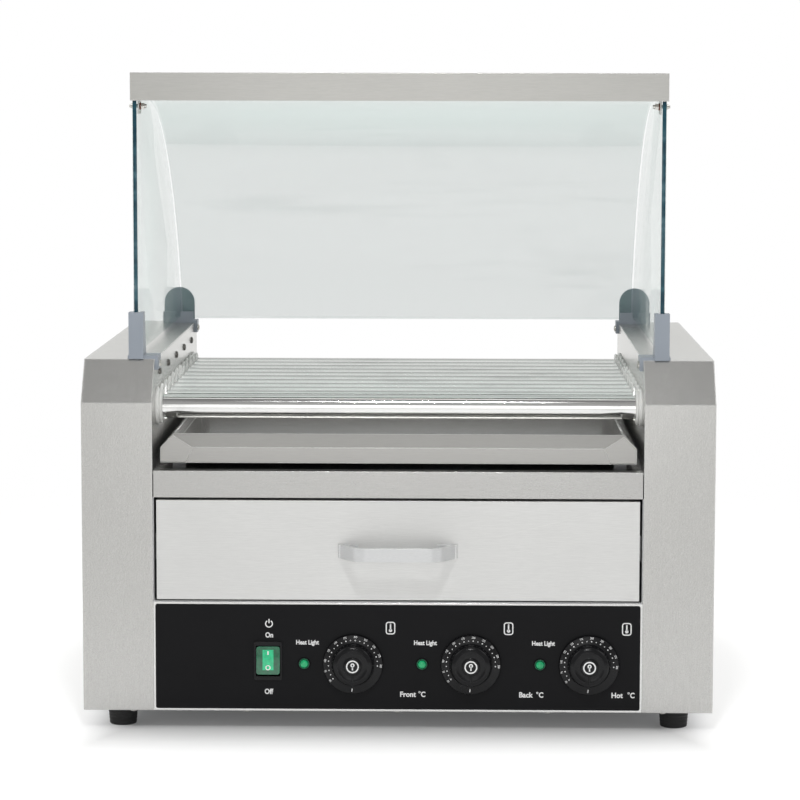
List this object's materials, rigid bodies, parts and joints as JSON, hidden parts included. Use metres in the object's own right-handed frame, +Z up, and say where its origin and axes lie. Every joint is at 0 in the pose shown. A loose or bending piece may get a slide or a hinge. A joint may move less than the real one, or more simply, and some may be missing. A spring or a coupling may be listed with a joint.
{
  "type": "hot dog roller grill",
  "caption": "Countertop roller grill with turning heated tubes, drip tray, glass hood, bun warming drawer and dial controls.",
  "frame": {"origin": "centre of the overall box, on the surface that the feet stand on", "axes": "+Z up, +Y to the rear, +X to the right of a person who faces the controls"},
  "size_m": [0.58, 0.496, 0.6026],
  "materials": {
    "stainless": "brushed stainless sheet",
    "polished": "polished stainless tube",
    "galvanised": "plated steel sheet",
    "hardware": "zinc plated fasteners",
    "overlay": "satin black overlay",
    "black_plastic": "black thermoset",
    "green_lens": "translucent green",
    "ptfe": "white PTFE",
    "bracket_plastic": "blue grey plastic",
    "glass": "clear tempered glass, pale green",
    "rubber": "black rubber",
    "aluminium": "satin anodised",
    "motor_metal": "grey",
    "bronze": "sintered bronze",
    "fibre": "red brown fibre",
    "terminal_plastic": "ivory plastic",
    "chain_steel": "oiled steel"
  },
  "bodies": {
    "chassis": {"left_side_cover": "stainless", "right_side_cover": "stainless", "left_side_frame": "stainless", "right_side_frame": "stainless", "base_pan": "galvanised", "rear_panel": "stainless", "front_rail": "stainless", "tray_shelf": "stainless", "tray_rails": "galvanised", "control_panel": "stainless", "panel_overlay": "overlay", "switch_body": "black_plastic", "pilot_light_bodies": "black_plastic", "pilot_light_lenses": "green_lens", "thermostats": "black_plastic", "feet": "rubber", "base_screws": "hardware", "wall_screws": "hardware", "roller_seals": "ptfe", "roller_bearings": "bronze", "roller_heaters": "hardware", "heater_bars": "galvanised", "motor": "motor_metal", "chain": "chain_steel", "hood_left_glass": "glass", "hood_right_glass": "glass", "hood_curved_glass": "glass", "hood_top_cover": "stainless", "hood_front_brackets": "bracket_plastic", "hood_rear_brackets": "bracket_plastic", "hood_bracket_screws": "hardware", "hood_top_bolts": "hardware", "hood_washers": "fibre", "drawer_bay": "galvanised", "drawer_heater": "hardware", "drawer_slides": "galvanised", "cable_gland": "black_plastic", "terminal_block": "terminal_plastic"},
    "drawer": {"drawer_front": "stainless", "drawer_box": "stainless", "drawer_handle": "aluminium", "handle_screws": "hardware", "drawer_runners": "galvanised"},
    "tray": {"drip_tray": "stainless"},
    "roller_01": {"roller_01": "polished"},
    "roller_02": {"roller_02": "polished"},
    "roller_03": {"roller_03": "polished"},
    "roller_04": {"roller_04": "polished"},
    "roller_05": {"roller_05": "polished"},
    "roller_06": {"roller_06": "polished"},
    "roller_07": {"roller_07": "polished"},
    "roller_08": {"roller_08": "polished"},
    "roller_09": {"roller_09": "polished"},
    "roller_10": {"roller_10": "polished"},
    "roller_11": {"roller_11": "polished"},
    "drive": {"drive_sprocket": "chain_steel"},
    "knob_front": {"knob_front": "black_plastic"},
    "knob_back": {"knob_back": "black_plastic"},
    "knob_hot": {"knob_hot": "black_plastic"},
    "rocker": {"power_rocker": "green_lens"}
  },
  "joints": [
    {"name": "drawer_slide", "type": "slide", "parent": "chassis", "child": "drawer", "axis": [0, -1, 0], "range_m": [0, 0.3]},
    {"name": "tray_slide", "type": "slide", "parent": "chassis", "child": "tray", "axis": [0, -1, 0], "range_m": [0, 0.35]},
    {"name": "roller_01_spin", "type": "hinge", "parent": "chassis", "child": "roller_01", "pos_m": [0, -0.176, 0.295], "axis": [1, 0, 0], "continuous": true},
    {"name": "roller_02_spin", "type": "hinge", "parent": "chassis", "child": "roller_02", "pos_m": [0, -0.1393, 0.295], "axis": [1, 0, 0], "continuous": true},
    {"name": "roller_03_spin", "type": "hinge", "parent": "chassis", "child": "roller_03", "pos_m": [0, -0.1026, 0.295], "axis": [1, 0, 0], "continuous": true},
    {"name": "roller_04_spin", "type": "hinge", "parent": "chassis", "child": "roller_04", "pos_m": [0, -0.0659, 0.295], "axis": [1, 0, 0], "continuous": true},
    {"name": "roller_05_spin", "type": "hinge", "parent": "chassis", "child": "roller_05", "pos_m": [0, -0.0292, 0.295], "axis": [1, 0, 0], "continuous": true},
    {"name": "roller_06_spin", "type": "hinge", "parent": "chassis", "child": "roller_06", "pos_m": [0, 0.0075, 0.295], "axis": [1, 0, 0], "continuous": true},
    {"name": "roller_07_spin", "type": "hinge", "parent": "chassis", "child": "roller_07", "pos_m": [0, 0.0442, 0.295], "axis": [1, 0, 0], "continuous": true},
    {"name": "roller_08_spin", "type": "hinge", "parent": "chassis", "child": "roller_08", "pos_m": [0, 0.0809, 0.295], "axis": [1, 0, 0], "continuous": true},
    {"name": "roller_09_spin", "type": "hinge", "parent": "chassis", "child": "roller_09", "pos_m": [0, 0.1176, 0.295], "axis": [1, 0, 0], "continuous": true},
    {"name": "roller_10_spin", "type": "hinge", "parent": "chassis", "child": "roller_10", "pos_m": [0, 0.1543, 0.295], "axis": [1, 0, 0], "continuous": true},
    {"name": "roller_11_spin", "type": "hinge", "parent": "chassis", "child": "roller_11", "pos_m": [0, 0.191, 0.295], "axis": [1, 0, 0], "continuous": true},
    {"name": "drive_spin", "type": "hinge", "parent": "chassis", "child": "drive", "pos_m": [0.2585, 0.0075, 0.131], "axis": [1, 0, 0], "continuous": true},
    {"name": "knob_front_turn", "type": "hinge", "parent": "chassis", "child": "knob_front", "pos_m": [-0.041, -0.23, 0.0615], "axis": [0, 1, 0], "range_deg": [0, 280]},
    {"name": "knob_back_turn", "type": "hinge", "parent": "chassis", "child": "knob_back", "pos_m": [0.0675, -0.23, 0.0615], "axis": [0, 1, 0], "range_deg": [0, 280]},
    {"name": "knob_hot_turn", "type": "hinge", "parent": "chassis", "child": "knob_hot", "pos_m": [0.176, -0.23, 0.0615], "axis": [0, 1, 0], "range_deg": [0, 280]},
    {"name": "rocker_tilt", "type": "hinge", "parent": "chassis", "child": "rocker", "pos_m": [-0.1192, -0.22, 0.064], "axis": [1, 0, 0], "range_deg": [0, 14]}
  ],
  "couplings": [
    {"joint": "roller_02_spin", "follows": "roller_01_spin", "ratio": 1},
    {"joint": "roller_03_spin", "follows": "roller_01_spin", "ratio": 1},
    {"joint": "roller_04_spin", "follows": "roller_01_spin", "ratio": 1},
    {"joint": "roller_05_spin", "follows": "roller_01_spin", "ratio": 1},
    {"joint": "roller_06_spin", "follows": "roller_01_spin", "ratio": 1},
    {"joint": "roller_07_spin", "follows": "roller_01_spin", "ratio": 1},
    {"joint": "roller_08_spin", "follows": "roller_01_spin", "ratio": 1},
    {"joint": "roller_09_spin", "follows": "roller_01_spin", "ratio": 1},
    {"joint": "roller_10_spin", "follows": "roller_01_spin", "ratio": 1},
    {"joint": "roller_11_spin", "follows": "roller_01_spin", "ratio": 1},
    {"joint": "drive_spin", "follows": "roller_01_spin", "ratio": 1}
  ]
}
